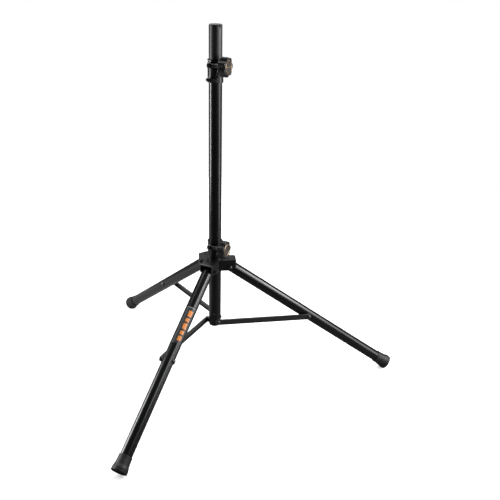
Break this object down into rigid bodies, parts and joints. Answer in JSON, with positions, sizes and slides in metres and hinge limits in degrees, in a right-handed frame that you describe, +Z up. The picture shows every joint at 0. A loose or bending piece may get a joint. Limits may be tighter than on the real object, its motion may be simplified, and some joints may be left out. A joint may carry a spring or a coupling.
{
  "type": "speaker tripod stand",
  "caption": "Black steel speaker stand: telescopic pole with a clamp knob on a sliding-hub tripod with folding legs, pressed struts and rubber feet.",
  "frame": {"origin": "on the floor, under the column's axis, with the legs fully spread", "axes": "+Z up along the column; leg 1 points along +X, leg 2 and leg 3 follow at 120 degrees each, counter-clockwise seen from above"},
  "size_m": [0.829, 0.9506, 1.029],
  "materials": {
    "black_powder_coat": "satin black powder coat over steel tube",
    "strut_powder_coat": "satin dark grey powder coat over pressed steel",
    "moulded_nylon": "black glass-filled nylon, satin with a moulded grain",
    "knob_plastic": "black satin nylon",
    "bronze_trim": "satin bronze-coloured trim",
    "badge_plastic": "grey lacquered disc, plain",
    "brass": "turned",
    "black_zinc_steel": "black zinc-plated steel fasteners",
    "glide_nylon": "black nylon",
    "foot_rubber": "black rubber"
  },
  "bodies": {
    "column": {"main_tube": "black_powder_coat", "base_bracket": "moulded_nylon", "bracket_rivets": "black_zinc_steel", "strut_pivot_screws": "black_zinc_steel", "tube_guide_bush": "glide_nylon", "upper_collar": "moulded_nylon", "collar_fixing_screw": "black_zinc_steel", "collar_fixing_nut": "black_zinc_steel", "upper_clamp_bolt": "black_zinc_steel"},
    "upper_knob_washer": {"upper_knob_washer": "black_zinc_steel"},
    "upper_knob": {"upper_knob": "knob_plastic", "upper_knob_insert": "brass", "upper_knob_ring": "bronze_trim", "upper_knob_disc": "badge_plastic"},
    "pole_glide": {"pole_glide": "glide_nylon"},
    "pole": {"glide_screw": "black_zinc_steel", "pole_end_plug": "glide_nylon", "inner_pole": "black_powder_coat", "spigot_sleeve": "black_powder_coat", "sleeve_rivet": "black_zinc_steel", "pole_cap": "glide_nylon"},
    "hub": {"hub_housing": "moulded_nylon", "hub_clamp_bolt": "black_zinc_steel", "leg_pivot_bolts": "black_zinc_steel", "leg_pivot_nuts": "black_zinc_steel"},
    "hub_knob_washer": {"hub_knob_washer": "black_zinc_steel"},
    "hub_knob": {"hub_knob": "knob_plastic", "hub_knob_insert": "brass", "hub_knob_ring": "bronze_trim", "hub_knob_disc": "badge_plastic"},
    "leg_1": {"leg_1_tube": "black_powder_coat", "leg_1_plug": "glide_nylon", "leg_1_foot": "foot_rubber", "leg_1_barrel_nut": "black_zinc_steel", "leg_1_saddle": "glide_nylon"},
    "strut_1": {"strut_1": "strut_powder_coat", "strut_1_screw": "black_zinc_steel"},
    "leg_2": {"leg_2_tube": "black_powder_coat", "leg_2_plug": "glide_nylon", "leg_2_foot": "foot_rubber", "leg_2_barrel_nut": "black_zinc_steel", "leg_2_saddle": "glide_nylon"},
    "strut_2": {"strut_2": "strut_powder_coat", "strut_2_screw": "black_zinc_steel"},
    "leg_3": {"leg_3_tube": "black_powder_coat", "leg_3_plug": "glide_nylon", "leg_3_foot": "foot_rubber", "leg_3_barrel_nut": "black_zinc_steel", "leg_3_saddle": "glide_nylon"},
    "strut_3": {"strut_3": "strut_powder_coat", "strut_3_screw": "black_zinc_steel"}
  },
  "joints": [
    {"name": "pole_slide", "type": "slide", "parent": "column", "child": "pole_glide", "axis": [0, 0, 1], "range_m": [0, 0.58]},
    {"name": "pole_turn", "type": "hinge", "parent": "pole_glide", "child": "pole", "pos_m": [0, 0, 0.3], "axis": [0, 0, 1], "continuous": true},
    {"name": "hub_slide", "type": "slide", "parent": "column", "child": "hub", "axis": [0, 0, 1], "range_m": [0, 0.378]},
    {"name": "upper_washer_slide", "type": "slide", "parent": "column", "child": "upper_knob_washer", "axis": [0.866, -0.5, 0], "range_m": [0, 0.0026]},
    {"name": "upper_knob_turn", "type": "hinge", "parent": "upper_knob_washer", "child": "upper_knob", "pos_m": [0.01891, -0.04325, 0.9295], "axis": [0.866, -0.5, 0], "range_deg": [0, 720]},
    {"name": "hub_washer_slide", "type": "slide", "parent": "hub", "child": "hub_knob_washer", "axis": [0.866, -0.5, 0], "range_m": [0, 0.0026]},
    {"name": "hub_knob_turn", "type": "hinge", "parent": "hub_knob_washer", "child": "hub_knob", "pos_m": [0.01891, -0.04325, 0.42743], "axis": [0.866, -0.5, 0], "range_deg": [0, 720]},
    {"name": "leg_1_fold", "type": "hinge", "parent": "hub", "child": "leg_1", "pos_m": [0.042, 0, 0.36143], "axis": [0, 1, 0], "range_deg": [0, 54.9]},
    {"name": "strut_1_fold", "type": "hinge", "parent": "column", "child": "strut_1", "pos_m": [0.008, 0, 0.1875], "axis": [0, 1, 0], "range_deg": [-80.8, 0]},
    {"name": "leg_2_fold", "type": "hinge", "parent": "hub", "child": "leg_2", "pos_m": [-0.021, 0.03637, 0.36143], "axis": [-0.866, -0.5, 0], "range_deg": [0, 54.9]},
    {"name": "strut_2_fold", "type": "hinge", "parent": "column", "child": "strut_2", "pos_m": [-0.004, 0.00693, 0.1875], "axis": [-0.866, -0.5, 0], "range_deg": [-80.8, 0]},
    {"name": "leg_3_fold", "type": "hinge", "parent": "hub", "child": "leg_3", "pos_m": [-0.021, -0.03637, 0.36143], "axis": [0.866, -0.5, 0], "range_deg": [0, 54.9]},
    {"name": "strut_3_fold", "type": "hinge", "parent": "column", "child": "strut_3", "pos_m": [-0.004, -0.00693, 0.1875], "axis": [0.866, -0.5, 0], "range_deg": [-80.8, 0]}
  ],
  "couplings": [
    {"joint": "leg_1_fold", "follows": "hub_slide", "rad_per_m": 2.5348},
    {"joint": "strut_1_fold", "follows": "hub_slide", "rad_per_m": -3.7291},
    {"joint": "leg_2_fold", "follows": "hub_slide", "rad_per_m": 2.5348},
    {"joint": "strut_2_fold", "follows": "hub_slide", "rad_per_m": -3.7291},
    {"joint": "leg_3_fold", "follows": "hub_slide", "rad_per_m": 2.5348},
    {"joint": "strut_3_fold", "follows": "hub_slide", "rad_per_m": -3.7291},
    {"joint": "upper_washer_slide", "follows": "upper_knob_turn", "m_per_rad": 0.00019894},
    {"joint": "hub_washer_slide", "follows": "hub_knob_turn", "m_per_rad": 0.00019894}
  ]
}
